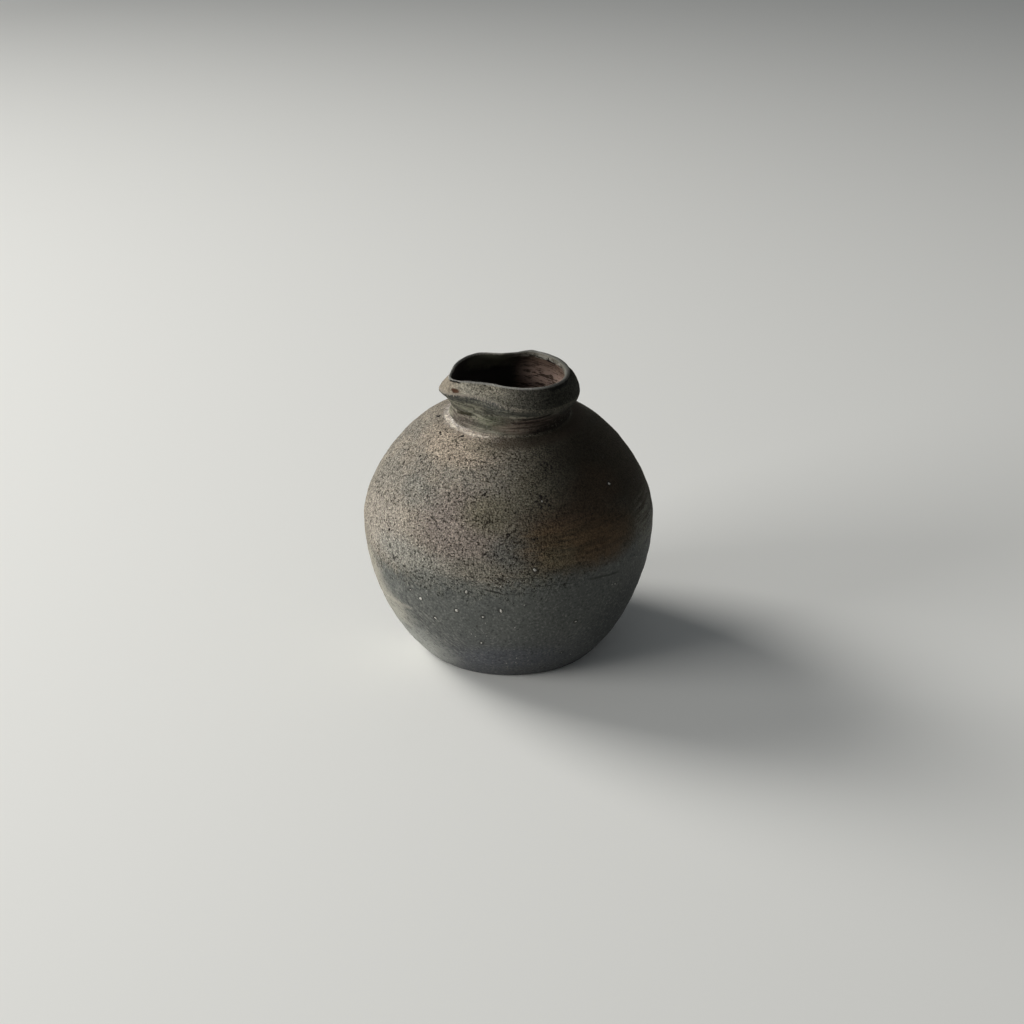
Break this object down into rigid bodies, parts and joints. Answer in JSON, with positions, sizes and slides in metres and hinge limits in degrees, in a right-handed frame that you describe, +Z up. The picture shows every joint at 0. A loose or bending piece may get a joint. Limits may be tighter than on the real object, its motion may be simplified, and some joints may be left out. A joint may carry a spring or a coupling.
{
  "type": "stoneware jar",
  "caption": "Small round-bellied unglazed stoneware jar with a short neck, a folded collar and a pinched, uneven open mouth; flat foot, no lid.",
  "frame": {"origin": "centre of the flat foot, on the surface that the jar stands on", "axes": "+Z up out of the mouth; the front of the jar, as pictured, faces -Y; the pinched corner of the mouth points to -X"},
  "size_m": [0.115, 0.115, 0.1144],
  "materials": {
    "fired_clay": "matt, sandy above and smooth below",
    "feldspar": "half melted, satin",
    "cinder": "rough"
  },
  "bodies": {
    "root": {"jar_wall": "fired_clay", "feldspar_grain_01": "feldspar", "feldspar_grain_02": "feldspar", "feldspar_grain_03": "feldspar", "feldspar_grain_04": "feldspar", "feldspar_grain_05": "feldspar", "feldspar_grain_06": "feldspar", "feldspar_grain_07": "feldspar", "feldspar_grain_08": "feldspar", "feldspar_grain_09": "feldspar", "feldspar_grain_10": "feldspar", "feldspar_grain_11": "feldspar", "feldspar_grain_12": "feldspar", "kiln_cinder_01": "cinder", "kiln_cinder_02": "cinder", "kiln_cinder_03": "cinder", "kiln_cinder_04": "cinder"}
  },
  "joints": []
}
